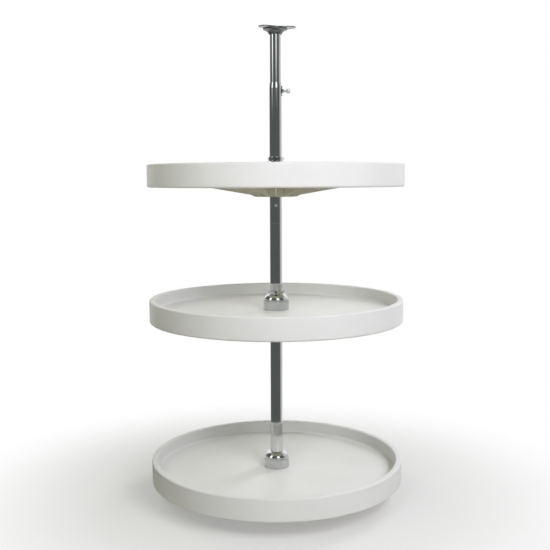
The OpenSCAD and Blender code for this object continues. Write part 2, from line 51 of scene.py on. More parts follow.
CAMERA_AT = (-0.00226, -1.71765, 0.6401)   # metres; fitted to the trays' rims, as the rest here is
CAMERA_DOWN = 6.298                        # degrees below the horizon
CAMERA_ROLL = -0.22                        # degrees about the line of sight
FOCAL_PIXELS = 858.0
FRAME_PIXELS = 550.0
SENSOR = 36.0                              # millimetres


def make_camera():
    """The photograph's view: one level bearing along +Y, tipped down, with the fitted focal length."""
    data = bpy.data.cameras.new("camera")
    data.sensor_width = SENSOR
    data.lens = FOCAL_PIXELS / FRAME_PIXELS * SENSOR
    data.clip_start = 0.05
    data.clip_end = 60.0
    camera = bpy.data.objects.new("camera", data)
    bpy.context.scene.collection.objects.link(camera)
    tip = Matrix.Rotation(math.radians(90.0 - CAMERA_DOWN), 4, "X")
    roll = Matrix.Rotation(math.radians(CAMERA_ROLL), 4, "Z")
    camera.matrix_world = Matrix.Translation(CAMERA_AT) @ tip @ roll
    bpy.context.scene.camera = camera


make_camera()

# ---------------------------------------------------------------- sizes, as in the part's source

BOSS_Z = {"bottom": 16.0, "middle": 341.8, "top": 607.9}   # underside of each tray's boss
TRAY_R = 254.0
TRAY_H = 63.5              # boss underside to rim top
RIM_H = 44.5
FLOOR_TOP = 39.0           # boss underside to the floor's top
FLOOR_T = 3.0
LIP_W = 12.0
LIP_EDGE_R = 3.0
BAND_EDGE_R = 4.0
RIM_WALL = 2.5
RIM_DRAFT = 0.8
FILLET_R = 3.0
BOSS_R = 43.0
BOSS_WALL = 3.0
RIB_COUNT = 16
RIB_T = 2.4
RIB_DRAFT = 0.35           # a rib is this much thicker to each side at its root
RIB_SOFT = 0.4             # rounding of a rib's lower edge
RIB_STEP_R = 42.25
RIB_STEP_W = 7.0
RIB_STEP_H = 3.5
RIB_END_R = 236.0
SINK_HALF = 3.5            # half width of the sink line over a rib
SINK_FADE_R = 205.0        # beyond this radius it dies out
TRAY_BORE_R = 18.05
RECESS_H = 10.0
RECESS_R = 32.0
WEB_Z = 11.0               # lower edge of the ribs inside the boss
BORE_EDGE = 0.4            # chamfer on the bearing tube's top and inside the boss
BOSS_EDGE = 0.6            # chamfer outside the boss
BOSS_FILLET = 1.5

POST_R = 12.7
POST_BORE_R = 11.2
INNER_R = 11.15
INNER_BORE_R = 9.95
POST_FOOT_Z = 3.0
SPIGOT_PIN_Z = 530.0
SPIGOT_PIN_R = 1.55
SEAM_Z = 555.0
SEAM_EDGE = 0.12           # rounding of the two outer tubes' ends
TUBE_EDGE = 0.25           # rounding of the inner tube's ends
BUTTON_Z = 591.1
BUTTON_HOLE_R = 3.25
LOCK_Z = 814.7
LOCK_HOLE_R = 3.05
MOUTH_Z = 831.0
MOUTH_TAPER = 9.5
MOUTH_SHOULDER = 0.6       # drawn in by this much halfway up the taper
MOUTH_WALL = 0.5
INNER_FOOT_Z = 712.0

PLATE_Z = 934.0            # the ceiling plate's lower face
PLATE_TOP = 936.5
PLATE_DISC_R = 20.5
PLATE_EDGE_R = 0.8
STUB_R = 5.05              # hole in the plate's middle for the plug's stub
ARM_TURN = 345.0           # bearing of one arm, in degrees
ARM_END_R = 11.5
ARM_HOLE_PCR = 30.0        # radius at which the arms' holes lie
ARM_HOLE_R = 2.6
ARM_HOLE_HALF = 0.16       # half of the angle of the patch round an arm's hole
ARM_HOLE_SHARES = (0.55, 0.86)   # its ends, as shares of the way from the stub to the outline
DISH_R = 24.0
DISH_NECK_R = 12.6
DISH_DEPTH = 11.0
DISH_CURVE = 2.6           # power of its fall
DISH_EDGE = 0.5
DISH_TOP_CHAMFER = 0.4
DISH_NECK_CHAMFER = (0.25, 0.3)   # outwards, upwards
DISH_FIT = 0.05

SLEEVE_R = 14.7
SLEEVE_BORE_R = 12.75
SLEEVE_FLANGE_R = 30.0
SLEEVE_FLANGE_Z = (1.3, 4.3)
SLEEVE_EDGE = 0.6
NECK_TOP = 78.5            # boss underside to the neck's top
SET_SCREW_Z = 75.0
SET_SCREW_R = 2.5
SET_SCREW_L = 4.2
SET_SCREW_TIP_R = 12.8     # radius at which its inner end stands
SET_SCREW_TURNS = (-90.0, 30.0, 150.0)
SOCKET_KEY = 2.5
SOCKET_DEPTH = 2.0
SOCKET_POINT = 0.7         # the drill's cone below the socket

LOCK_THREAD_R = 3.0
LOCK_THREAD_X = (13.4, 22.2)   # from the post's axis, as the head's place is
THREAD_PITCH = 1.0
THREAD_DEPTH = 0.45
THREAD_FADE = 0.8          # over which the thread dies out at its ends
LOCK_HEAD_X = 21.6
LOCK_HEAD_L = 8.0
LOCK_HEAD_R = 4.6
GRIP_TEETH = 24
GRIP_DEPTH = 0.4

BUTTON_R = 3.2
BUTTON_FOOT_Y = 7.15       # from the post's axis to the flange's inner face
BUTTON_FLANGE_R = 4.4
BUTTON_FLANGE_T = 1.1
BUTTON_EDGE = 0.2
BUTTON_FACE_Y = 13.4
BUTTON_CROWN = 1.2         # height of its dome

HUB_R = 25.4
HUB_BORE_R = 15.2
BOTTOM_MOUTH_R = 13.2      # the bottom hub closes on the post, the others on the necks
HUB_RING_H = 20.5
HUB_DOME_H = 12.2
HUB_DOME_RUN = 13.4
KNURL_TEETH = 60
KNURL_DEPTH = 0.6
KNURL_FLANK = 1.35         # slope of a tooth's flanks, where 1 is a plain saw
HUB_BEAD = 1.6             # height of the bead below the knurls, and above them
HUB_BEAD_EDGE = 0.5
HUB_BEAD_SOFT = 0.15
HUB_BEAD_STEP = 0.3
HUB_BAND_GAP = 0.35        # from the bead to the band's first row
HUB_DOME_IN = 0.6          # the dome's foot lies this far inside the knurls' valleys
HUB_MOUTH_H = 0.5          # height of the bottom hub's mouth along the post
HUB_CROWN_H = 4.0          # its wall's height from the bore's end to the crown
HUB_LIP = ((0.25, 0.1), (0.3, 0.6))   # the other hubs' mouth: points (inwards, downwards) from its edge

HAIR = 0.01                # a step too small to see
SLACK = 1e-6               # for comparing positions that may be the same

# ---------------------------------------------------------------- points and meshes

HOLD_GAP = 1.0             # distance of the rows that hold a long face's shading
DOUBLES = 2e-6             # points closer than this are one, in metres


def arc(x, z, r, first, last, steps=8):
    """Points of a circle of radius r round (x, z), from angle first to angle last in degrees."""
    a = np.radians(np.linspace(first, last, steps + 1))
    return np.stack([x + r * np.cos(a), z + r * np.sin(a)], axis=1)


def softened(corners, reach, steps=4):
    """Closed outline whose corners are rounded: each corner P becomes the parabola
    (1-t)^2 A + 2t(1-t) P + t^2 B between the points A and B at a distance of reach along its two edges,
    or at 0.45 of an edge that is too short for that."""
    p = np.asarray(corners, float)
    to_last = np.roll(p, 1, axis=0) - p
    to_next = np.roll(p, -1, axis=0) - p
    last_l = np.linalg.norm(to_last, axis=1, keepdims=True)
    next_l = np.linalg.norm(to_next, axis=1, keepdims=True)
    a = p + to_last / last_l * np.minimum(reach, 0.45 * last_l)
    b = p + to_next / next_l * np.minimum(reach, 0.45 * next_l)
    t = np.linspace(0.0, 1.0, steps + 1)[None, :, None]
    curve = (1 - t) ** 2 * a[:, None] + 2 * t * (1 - t) * p[:, None] + t ** 2 * b[:, None]
    return curve.reshape(-1, 2)


def closed(rows):
    """An outline, or a grid's rows, with the first again at the end."""
    return np.concatenate([rows, rows[:1]])


def held(outline, gap=HOLD_GAP):
    """The outline with two more points on each straight stretch of over five gaps, a gap from its ends,
    which keep the rounding beside it from tilting its shading."""
    step = outline[1:] - outline[:-1]
    length = np.hypot(step[:, 0], step[:, 1])
    part = (gap / length)[:, None] * step
    points = np.stack([outline[:-1], outline[:-1] + part, outline[1:] - part], axis=1)
    used = np.stack([length > 0.0, length > 5 * gap, length > 5 * gap], axis=1)
    return np.concatenate([points[used], outline[-1:]])


def polar(r, a, z):
    """Points (r cos a, r sin a, z) of arrays that broadcast together."""
    return np.stack(np.broadcast_arrays(r * np.cos(a), r * np.sin(a), z), axis=-1)


def turned(outline, columns):
    """Grid of a half section of (r, z) carried round the axis."""
    a = np.linspace(0.0, 2 * np.pi, columns, endpoint=False)
    return polar(outline[:, :1], a, outline[:, 1:])


def quads(rows, cols, wrap):
    """Corner numbers of a grid's cells; with wrap the last column's cells end at the first column."""
    i = np.arange(rows - 1)[:, None]
    j = np.arange(cols if wrap else cols - 1)[None, :]
    k = (j + 1) % cols
    return np.stack([i * cols + j, i * cols + k, (i + 1) * cols + k, (i + 1) * cols + j], axis=-1)


def moved(grid, matrix):
    """The grid's points after a 4 by 4 matrix."""
    m = np.array(matrix)
    return grid @ m[:3, :3].T + m[:3, 3]


class Skin:
    """Grids that together close one piece's surface, with a finish value at each point."""

    def __init__(self):
        self.points, self.cells, self.finish, self.count = [], [], [], 0

    def add(self, grid, wrap=True, keep=None, finish=0.0):
        """Takes a grid of points; keep marks the cells that stay, and finish is one value or one a point."""
        rows, cols = grid.shape[:2]
        cells = quads(rows, cols, wrap)
        cells = cells.reshape(-1, 4) if keep is None else cells[keep]
        self.points.append(grid.reshape(-1, 3))
        self.cells.append(cells + self.count)
        self.finish.append(np.broadcast_to(finish, (rows, cols)).reshape(-1))
        self.count += rows * cols
        return self

    def piece(self, name, body, material, slot, node, sharp=40.0):
        """Writes the mesh in metres, merges doubled points and turns the faces outwards. The piece rides on
        the body and stands for the node, and edges sharper than that many degrees stay sharp."""
        mesh = bpy.data.meshes.new(name)
        points = np.concatenate(self.points) * MM
        mesh.from_pydata(points.tolist(), [], np.concatenate(self.cells).tolist())
        value = mesh.attributes.new("finish", "FLOAT", "POINT")
        value.data.foreach_set("value", np.concatenate(self.finish).astype(np.float32))
        work = bmesh.new()
        work.from_mesh(mesh)
        bmesh.ops.remove_doubles(work, verts=work.verts, dist=DOUBLES)
        bmesh.ops.recalc_face_normals(work, faces=work.faces)
        work.to_mesh(mesh)
        work.free()
        mesh.polygons.foreach_set("use_smooth", np.ones(len(mesh.polygons), bool))
        mesh.set_sharp_from_angle(angle=math.radians(sharp))
        mesh.materials.append(material)
        piece = bpy.data.objects.new(name, mesh)
        bpy.context.scene.collection.objects.link(piece)
        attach(piece, body)
        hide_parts(node)


# ---------------------------------------------------------------- shader groups and materials


class Nodes:
    """Short calls for placing and joining the nodes of one tree."""

    def __init__(self, tree):
        self.tree = tree
        tree.nodes.clear()

    def add(self, kind, settings=None, **inputs):
        """A node of that kind. Settings are its own properties. Inputs are numbers or other sockets, by the
        socket's name with _ for a space, or by its place as i0, i1."""
        node = self.tree.nodes.new(kind)
        for key, value in (settings or {}).items():
            setattr(node, key, value)
        for key, value in inputs.items():
            name = key.replace("_", " ")
            socket = node.inputs[int(key[1:])] if key[1:].isdigit() else node.inputs[name]
            if isinstance(value, bpy.types.NodeSocket):
                self.tree.links.new(value, socket)
            else:
                socket.default_value = value
        return node

    def math(self, operation, *values, clamp=False):
        """A Math node's output."""
        inputs = {f"i{n}": v for n, v in enumerate(values)}
        return self.add("ShaderNodeMath", {"operation": operation, "use_clamp": clamp}, **inputs).outputs[0]

    def between(self, value, low, high, out_low=0.0, out_high=1.0):
        """Value from low..high carried to out_low..out_high with a smooth step, and held there outside."""
        node = self.add("ShaderNodeMapRange", {"interpolation_type": "SMOOTHSTEP"}, Value=value)
        for key, number in zip(("From Min", "From Max", "To Min", "To Max"), (low, high, out_low, out_high)):
            node.inputs[key].default_value = number
        return node.outputs["Result"]

    def mix(self, factor, a, b):
        """Mix of two colours."""
        node = self.add("ShaderNodeMix", {"data_type": "RGBA"})
        for index, value in ((0, factor), (6, a), (7, b)):
            if isinstance(value, bpy.types.NodeSocket):
                self.tree.links.new(value, node.inputs[index])
            else:
                node.inputs[index].default_value = value if index == 0 else (*value, 1.0)
        return node.outputs[2]

    def off_axis(self, axes):
        """Distance from the Z axis, the root of x^2 + y^2."""
        squares = [self.math("MULTIPLY", axes[key], axes[key]) for key in ("X", "Y")]
        return self.math("SQRT", self.math("ADD", *squares))

    def noise(self, vector, scale, detail, roughness):
        """Noise value from 0 to 1 at that many waves a metre."""
        node = self.add("ShaderNodeTexNoise", Vector=vector, Scale=scale, Detail=detail, Roughness=roughness)
        return node.outputs["Fac"]


def new_group(name, inputs, outputs):
    """An empty shader group with float or vector sockets, and the Nodes that fill it."""
    tree = bpy.data.node_groups.new(name, "ShaderNodeTree")
    for socket, kind, default in inputs:
        made = tree.interface.new_socket(name=socket, in_out="INPUT", socket_type=kind)
        if default is not None:
            made.default_value = default
    for socket in outputs:
        tree.interface.new_socket(name=socket, in_out="OUTPUT", socket_type="NodeSocketFloat")
    n = Nodes(tree)
    return tree, n, n.add("NodeGroupInput").outputs, n.add("NodeGroupOutput").inputs


def make_handling_group():
    """Marks that hands leave: broad smudges, and hairlines that run in bundles."""
    tree, n, given, out = new_group(
        "handling_marks",
        [("Vector", "NodeSocketVector", None), ("Smudge Scale", "NodeSocketFloat", 14.0),
         ("Hairline Scale", "NodeSocketFloat", 900.0)],
        ["Smudge", "Hairline"])
    broad = n.noise(given["Vector"], given["Smudge Scale"], 4.0, 0.6)
    n.tree.links.new(n.between(broad, 0.45, 0.72), out["Smudge"])
    stretched = n.add("ShaderNodeMapping", Vector=given["Vector"], Scale=(1.0, 1.0, 0.04)).outputs[0]
    lines = n.noise(stretched, given["Hairline Scale"], 2.0, 0.5)
    n.tree.links.new(n.between(lines, 0.62, 0.74), out["Hairline"])
    return tree


def make_grain_group():
    """The fine orange-peel skin of a moulding or a plated casting, and its slow waviness."""
    tree, n, given, out = new_group(
        "moulded_grain",
        [("Vector", "NodeSocketVector", None), ("Grain Scale", "NodeSocketFloat", 900.0),
         ("Wave Scale", "NodeSocketFloat", 9.0)],
        ["Grain", "Wave"])
    n.tree.links.new(n.noise(given["Vector"], given["Grain Scale"], 2.0, 0.6), out["Grain"])
    n.tree.links.new(n.noise(given["Vector"], given["Wave Scale"], 2.0, 0.4), out["Wave"])
    return tree


def make_wear_group():
    """Edge wear: where a pointed surface stands out, broken up by noise."""
    tree, n, given, out = new_group(
        "edge_wear",
        [("Vector", "NodeSocketVector", None), ("Breakup Scale", "NodeSocketFloat", 350.0)],
        ["Wear"])
    pointed = n.between(n.add("ShaderNodeNewGeometry").outputs["Pointiness"], 0.53, 0.60)
    broken = n.between(n.noise(given["Vector"], given["Breakup Scale"], 3.0, 0.6), 0.42, 0.62)
    n.tree.links.new(n.math("MULTIPLY", pointed, broken), out["Wear"])
    return tree


HANDLING = make_handling_group()
GRAIN = make_grain_group()
WEAR = make_wear_group()


def place(n, group, vector, **values):
    """A group placed in a material, with its own values."""
    node = n.add("ShaderNodeGroup", {"node_tree": group}, Vector=vector)
    for key, value in values.items():
        node.inputs[key.replace("_", " ")].default_value = value
    return node.outputs


def new_material(name):
    """An empty material, its Nodes and its Object coordinates."""
    material = bpy.data.materials.new(name)
    material.use_nodes = True
    n = Nodes(material.node_tree)
    return material, n, n.add("ShaderNodeTexCoord").outputs["Object"]


def shaded(n, **sockets):
    """The Principled shader with its sockets set, joined to the output."""
    shader = n.add("ShaderNodeBsdfPrincipled", **sockets)
    n.add("ShaderNodeOutputMaterial", Surface=shader.outputs[0])


def bump(n, height, distance):
    """Normal of a small height field; distance is its height in metres."""
    return n.add("ShaderNodeBump", Height=height, Distance=distance, Strength=1.0).outputs[0]


def tray_polymer():
    """Satin off-white moulding: fine skin, faint sink lines over the ribs, and a matter underside whose
    colour is painted darker and warmer as shade.
    """
    material, n, at = new_material("tray_polymer")
    grain = place(n, GRAIN, at, Grain_Scale=1400.0, Wave_Scale=7.0)
    hands = place(n, HANDLING, at, Smudge_Scale=11.0, Hairline_Scale=500.0)
    # under is 1 on the tray's underside: it makes that side matter and carries its painted shade
    under = n.add("ShaderNodeAttribute", {"attribute_name": "finish"}).outputs["Fac"]
    axes = n.add("ShaderNodeSeparateXYZ", Vector=at).outputs
    angle = n.math("ARCTAN2", axes["Y"], axes["X"])
    half_pitch = math.pi / RIB_COUNT
    off = n.math("PINGPONG", n.math("ADD", angle, 2 * math.pi), half_pitch)
    radius = n.off_axis(axes)
    aside = n.math("MULTIPLY", radius, n.math("SINE", off))
    near_rib = n.between(aside, 0.0, SINK_HALF * MM, 1.0, 0.0)
    over_rib = n.between(radius, SINK_FADE_R * MM, RIB_END_R * MM, 1.0, 0.0)
    sink = n.math("MULTIPLY", near_rib, over_rib)
    tone = n.mix(grain["Wave"], (0.797, 0.803, 0.802), (0.832, 0.836, 0.838))
    tone = n.mix(n.math("MULTIPLY", hands["Smudge"], 0.35), tone, (0.772, 0.775, 0.768))
    # painted shade: the underside is mixed towards a darker, warmer tan, as it looks in shadow
    colour = n.mix(n.math("MULTIPLY", under, 0.85), tone, (0.680, 0.640, 0.510))
    rough = n.math("ADD", n.math("MULTIPLY", hands["Smudge"], 0.07), n.math("MULTIPLY", grain["Wave"], 0.06))
    rough = n.math("ADD", rough, n.math("MULTIPLY", under, 0.18))
    rough = n.math("ADD", rough, 0.33)
    relief = n.math("SUBTRACT", n.math("MULTIPLY", grain["Grain"], 0.35), sink)
    relief = n.math("SUBTRACT", relief, n.math("MULTIPLY", hands["Hairline"], 0.15))
    shaded(n, Base_Color=colour, Roughness=rough, IOR=1.49, Normal=bump(n, relief, 0.00006))
    return material


def mirror_chrome(name, satin_rough=0.0):
    """Polished chrome plate, with a film of smudges; where finish is 1 the plate lies on satin knurls."""
    material, n, at = new_material(name)
    hands = place(n, HANDLING, at, Smudge_Scale=32.0, Hairline_Scale=2200.0)
    satin = n.add("ShaderNodeAttribute", {"attribute_name": "finish"}).outputs["Fac"]
    colour = n.mix(hands["Smudge"], (0.735, 0.750, 0.755), (0.690, 0.705, 0.708))
    colour = n.mix(n.math("MULTIPLY", satin, 0.6), colour, (0.640, 0.655, 0.655))
    rough = n.math("ADD", n.math("MULTIPLY", hands["Smudge"], 0.045), 0.035)
    rough = n.math("ADD", rough, n.math("MULTIPLY", hands["Hairline"], 0.03))
    rough = n.math("ADD", rough, n.math("MULTIPLY", satin, satin_rough))
    shaded(n, Base_Color=colour, Metallic=1.0, Roughness=rough, Normal=bump(n, hands["Hairline"], 0.0000015))
    return material


def bright_nickel():
    """Satin nickel plate of the small screws, slightly yellow, worn to steel on its edges."""
    material, n, at = new_material("bright_nickel")
    hands = place(n, HANDLING, at, Smudge_Scale=180.0, Hairline_Scale=4000.0)
    worn = place(n, WEAR, at, Breakup_Scale=900.0)
    colour = n.mix(hands["Smudge"], (0.86, 0.86, 0.845), (0.78, 0.78, 0.76))
    colour = n.mix(worn["Wear"], colour, (0.92, 0.92, 0.91))
    rough = n.math("ADD", n.math("MULTIPLY", hands["Smudge"], 0.12), 0.26)
    shaded(n, Base_Color=colour, Metallic=0.55, Roughness=rough, Normal=bump(n, hands["Hairline"], 0.000004))
    return material


def zinc_plate():
    """Passivated zinc on steel, with the cloudy spangle that such plating has."""
    material, n, at = new_material("zinc_plate")
    spangle = n.add("ShaderNodeTexVoronoi", {"feature": "F1"}, Vector=at, Scale=260.0, Randomness=1.0)
    grain = place(n, GRAIN, at, Grain_Scale=1600.0, Wave_Scale=55.0)
    worn = place(n, WEAR, at, Breakup_Scale=500.0)
    cloud = n.math("MULTIPLY", spangle.outputs["Distance"], 1.2, clamp=True)
    colour = n.mix(cloud, (0.56, 0.585, 0.60), (0.66, 0.675, 0.66))
    colour = n.mix(n.math("MULTIPLY", grain["Wave"], 0.4), colour, (0.60, 0.60, 0.52))
    colour = n.mix(worn["Wear"], colour, (0.78, 0.79, 0.80))
    rough = n.math("ADD", n.math("MULTIPLY", grain["Wave"], 0.2), 0.28)
    shaded(n, Base_Color=colour, Metallic=1.0, Roughness=rough, Normal=bump(n, grain["Grain"], 0.00001))
    return material


def black_oxide():
    """Blackened steel of the socket screws, oily and thin on the edges."""
    material, n, at = new_material("black_oxide")
    grain = place(n, GRAIN, at, Grain_Scale=3000.0, Wave_Scale=240.0)
    worn = place(n, WEAR, at, Breakup_Scale=1500.0)
    colour = n.mix(grain["Wave"], (0.030, 0.031, 0.034), (0.062, 0.060, 0.058))
    colour = n.mix(n.math("MULTIPLY", worn["Wear"], 0.6), colour, (0.30, 0.30, 0.30))
    rough = n.math("ADD", n.math("MULTIPLY", grain["Wave"], 0.15), 0.30)
    shaded(n, Base_Color=colour, Metallic=0.7, Roughness=rough, Normal=bump(n, grain["Grain"], 0.000008))
    return material


def dark_plate():
    """Plated pressing with clouds and pale edges: bright on its arms, and dark where finish is 1."""
    material, n, at = new_material("dark_plate")
    grain = place(n, GRAIN, at, Grain_Scale=1300.0, Wave_Scale=60.0)
    worn = place(n, WEAR, at, Breakup_Scale=420.0)
    dark = n.add("ShaderNodeAttribute", {"attribute_name": "finish"}).outputs["Fac"]
    bright = n.mix(grain["Wave"], (0.38, 0.40, 0.395), (0.50, 0.52, 0.51))
    dull = n.mix(grain["Wave"], (0.160, 0.176, 0.170), (0.215, 0.230, 0.222))
    colour = n.mix(dark, bright, dull)
    colour = n.mix(n.math("MULTIPLY", worn["Wear"], 0.5), colour, (0.62, 0.64, 0.64))
    rough = n.math("ADD", n.math("MULTIPLY", grain["Wave"], 0.15), 0.24)
    shaded(n, Base_Color=colour, Metallic=0.85, Roughness=rough, Normal=bump(n, grain["Grain"], 0.00002))
    return material


def natural_nylon():
    """Uncoloured bearing nylon, milky and slightly waxy."""
    material, n, at = new_material("natural_nylon")
    grain = place(n, GRAIN, at, Grain_Scale=1500.0, Wave_Scale=45.0)
    colour = n.mix(grain["Wave"], (0.80, 0.785, 0.73), (0.86, 0.85, 0.81))
    rough = n.math("ADD", n.math("MULTIPLY", grain["Wave"], 0.1), 0.38)
    shaded(n, Base_Color=colour, Roughness=rough, Subsurface_Weight=0.15, Subsurface_Scale=0.002,
           Normal=bump(n, grain["Grain"], 0.00002))
    return material


def spring_steel():
    """Bare rolled strip with rolling lines along its length."""
    material, n, at = new_material("spring_steel")
    hands = place(n, HANDLING, at, Smudge_Scale=120.0, Hairline_Scale=3500.0)
    colour = n.mix(hands["Smudge"], (0.50, 0.51, 0.52), (0.40, 0.39, 0.37))
    rough = n.math("ADD", n.math("MULTIPLY", hands["Hairline"], 0.15), 0.22)
    shaded(n, Base_Color=colour, Metallic=1.0, Roughness=rough, Normal=bump(n, hands["Hairline"], 0.000004))
    return material


POLYMER = tray_polymer()
CHROME = mirror_chrome("polished_chrome")
HUB_CHROME = mirror_chrome("hub_chrome", satin_rough=0.26)
NICKEL = bright_nickel()
ZINC = zinc_plate()
BLACK = black_oxide()
DARK = dark_plate()
NYLON = natural_nylon()
SPRING = spring_steel()

# ---------------------------------------------------------------- trays

FLOOR_ROWS = (225.0, 200.0, 172.0, 144.0, 116.0, 90.0, 66.0, 46.0, 32.0, 24.0)   # their radii
UNDER_ROWS = (60.0, 80.0, 105.0, 130.0, 158.0, 186.0, 212.0)                     # the same beneath
FREE_COLUMNS = 13          # columns between two ribs


def rib_edge(r):
    """Height of a rib's lower edge at radius r: level in the boss, a short step, then one straight rise."""
    radii = [0.0, RECESS_R - HAIR, RECESS_R, RIB_STEP_R, RIB_STEP_R + RIB_STEP_W, RIB_END_R]
    return np.interp(r, radii, [WEB_Z, WEB_Z, 0.0, 0.0, RIB_STEP_H, FLOOR_TOP - FLOOR_T])


def tray_stations():
    """Half section of a tray as (r, z, 1 on its underside), from the band's lower edge up and inwards over
    lip and floor, down the bearing tube, and out again under the boss, the floor and the hollow rim."""
    wall_r = TRAY_R - LIP_W
    base = TRAY_H - RIM_H
    under = FLOOR_TOP - FLOOR_T
    roll_x, roll_z = TRAY_R - BAND_EDGE_R, base + BAND_EDGE_R
    fillet_x = wall_r - RIM_DRAFT - FILLET_R
    tube_r = TRAY_BORE_R + BOSS_WALL
    boss_in = BOSS_R - BOSS_WALL
    hollow_r = wall_r + RIM_WALL
    roof_z = TRAY_H - RIM_WALL
    foot_r = roll_x - RIM_WALL
    rim = held(np.concatenate([
        arc(roll_x, roll_z, BAND_EDGE_R, -90, 0),
        arc(TRAY_R - LIP_EDGE_R, TRAY_H - LIP_EDGE_R, LIP_EDGE_R, 0, 90),
        arc(wall_r + LIP_EDGE_R, TRAY_H - LIP_EDGE_R, LIP_EDGE_R, 90, 180),
        arc(fillet_x, FLOOR_TOP + FILLET_R, FILLET_R, 0, -90),
    ]))
    over = np.concatenate([
        rim,
        [[r, FLOOR_TOP] for r in (fillet_x - HOLD_GAP, *FLOOR_ROWS, TRAY_BORE_R + BORE_EDGE)],
        [[TRAY_BORE_R, FLOOR_TOP - BORE_EDGE], [TRAY_BORE_R, RECESS_H]],
    ])
    beneath = np.concatenate([
        [[tube_r, RECESS_H], [tube_r, under], [RECESS_R - HAIR, under], [RECESS_R, under]],
        [[boss_in, under], [boss_in, BORE_EDGE], [boss_in + BORE_EDGE, 0.0], [BOSS_R - BOSS_EDGE, 0.0]],
        [[BOSS_R, BOSS_EDGE], [BOSS_R, under - BOSS_FILLET], [BOSS_R + BOSS_FILLET, under]],
        [[r, under] for r in (RIB_STEP_R + RIB_STEP_W, *UNDER_ROWS, RIB_END_R)],
        [[hollow_r, under], [hollow_r, roof_z], [TRAY_R - RIM_WALL, roof_z]],
        arc(roll_x, roll_z, BAND_EDGE_R - RIM_WALL, 0, -90),
        [[foot_r, base + RIM_WALL], [foot_r, base]],
    ])
    flags = np.concatenate([np.zeros(len(over)), np.ones(len(beneath))])
    return np.column_stack([np.concatenate([over, beneath]), flags])


def tray_grid(boss_z):
    """Skin of one tray: its half section at columns round the axis. Six columns keep a fixed distance d
    from each rib's centre plane, at the angle rib + asin(d / r), and the rest share out the angle between two
    ribs. On the underside the four inner columns drop to the rib's lower edge, so they draw the rib."""
    station = tray_stations()
    r, z, beneath = station[:, 0], station[:, 1], station[:, 2] > 0
    half = RIB_T / 2
    offsets = np.array([-half - RIB_DRAFT, -half, RIB_SOFT - half, half - RIB_SOFT, half, half + RIB_DRAFT])
    share = np.linspace(0.0, 1.0, FREE_COLUMNS + 2)[1:-1]
    pitch = 2 * np.pi / RIB_COUNT
    at_rib = np.arcsin(offsets[None, :] / r[:, None])
    free = pitch - 2 * at_rib[:, -1:]
    sector = np.concatenate([at_rib, at_rib[:, -1:] + share[None, :] * free], axis=1)
    angle = (np.arange(RIB_COUNT)[None, :, None] * pitch + sector[:, None, :]).reshape(len(r), -1)
    edge = rib_edge(r)[:, None] + np.array([RIB_SOFT, 0.0, 0.0, RIB_SOFT])[None, :]
    in_rib = np.where((beneath & (r <= RIB_END_R))[:, None], np.minimum(z[:, None], edge), z[:, None])
    height = np.repeat(z[:, None], sector.shape[1], axis=1)
    height[:, 1:5] = in_rib
    height = np.tile(height, (1, RIB_COUNT)) + boss_z
    finish = np.broadcast_to(beneath[:, None].astype(float), angle.shape)
    return closed(polar(r[:, None], angle, height)), closed(finish)


def build_tray(which):
    """The moulding of one tray, with finish 1 on its underside, which the material makes matter and paints
    darker and warmer as shade.
    """
    grid, finish = tray_grid(BOSS_Z[which])
    skin = Skin().add(grid, finish=finish)
    skin.piece(f"{which}_tray_moulding", f"{which}_turntable", POLYMER, "polymer", f"{which}_tray", 50.0)


# ---------------------------------------------------------------- hubs

BAND_ROWS = 7
TOOTH_COLUMNS = 8
DOME_ROWS = 25


def hub_outline(top_r):
    """Half section of a hub, counter-clockwise from its bore: bead, band, bead, then a quarter ellipse
    x = c + run cos t, z = ring + height sin t up to the mouth of radius top_r."""
    bead_r = HUB_R - KNURL_DEPTH / 3
    bead = np.array([[bead_r - HUB_BEAD_EDGE, 0.0], [bead_r - HUB_BEAD_SOFT, HUB_BEAD_SOFT],
                     [bead_r, HUB_BEAD_EDGE], [bead_r, HUB_BEAD - HUB_BEAD_STEP],
                     [bead_r - HUB_BEAD_EDGE, HUB_BEAD]])
    upper_bead = np.stack([bead[::-1, 0], HUB_RING_H - bead[::-1, 1]], axis=1)
    band_low = HUB_BEAD + HUB_BAND_GAP
    band_z = np.linspace(band_low, HUB_RING_H - band_low, BAND_ROWS)
    band = np.stack([np.full(BAND_ROWS, HUB_R), band_z], axis=1)
    dome_x = HUB_R - KNURL_DEPTH - HUB_DOME_IN - HUB_DOME_RUN
    t = np.linspace(0.0, math.acos((top_r - dome_x) / HUB_DOME_RUN), DOME_ROWS)
    dome = np.stack([dome_x + HUB_DOME_RUN * np.cos(t), HUB_RING_H + HUB_DOME_H * np.sin(t)], axis=1)
    top_z = dome[-1, 1]
    if top_r < HUB_BORE_R:
        inside = [[top_r, top_z - HUB_MOUTH_H], [HUB_BORE_R, HUB_RING_H + HUB_DOME_H - HUB_CROWN_H]]
    else:
        inside = [[top_r - inwards, top_z - down] for inwards, down in HUB_LIP]
    return np.concatenate([[[HUB_BORE_R, 0.0]], bead, band, upper_bead, dome, inside])


def build_hub(which):
    """A hub's outline carried round the axis. On the band the radius falls by depth times a saw wave of the
    angle, tooth after tooth. Finish is 1 on the ring below the dome."""
    outline = hub_outline(BOTTOM_MOUTH_R if which == "bottom" else HUB_BORE_R)
    a = np.linspace(0.0, 2 * np.pi, KNURL_TEETH * TOOTH_COLUMNS, endpoint=False)
    phase = (a * KNURL_TEETH / (2 * np.pi)) % 1.0
    valley = 1.0 - np.minimum(1.0, KNURL_FLANK * (1.0 - np.abs(2.0 * phase - 1.0)))
    knurled = outline[:, :1] >= HUB_R
    r = outline[:, :1] - KNURL_DEPTH * knurled * valley
    grid = polar(r, a, outline[:, 1:] + BOSS_Z[which] + FLOOR_TOP)
    finish = np.broadcast_to((outline[:, 1:] < HUB_RING_H - HAIR).astype(float), r.shape)
    skin = Skin().add(closed(grid), finish=closed(finish))
    skin.piece(f"{which}_hub_shell", f"{which}_turntable", HUB_CHROME, "chrome_hub", f"{which}_hub", 35.0)


# ---------------------------------------------------------------- tubes

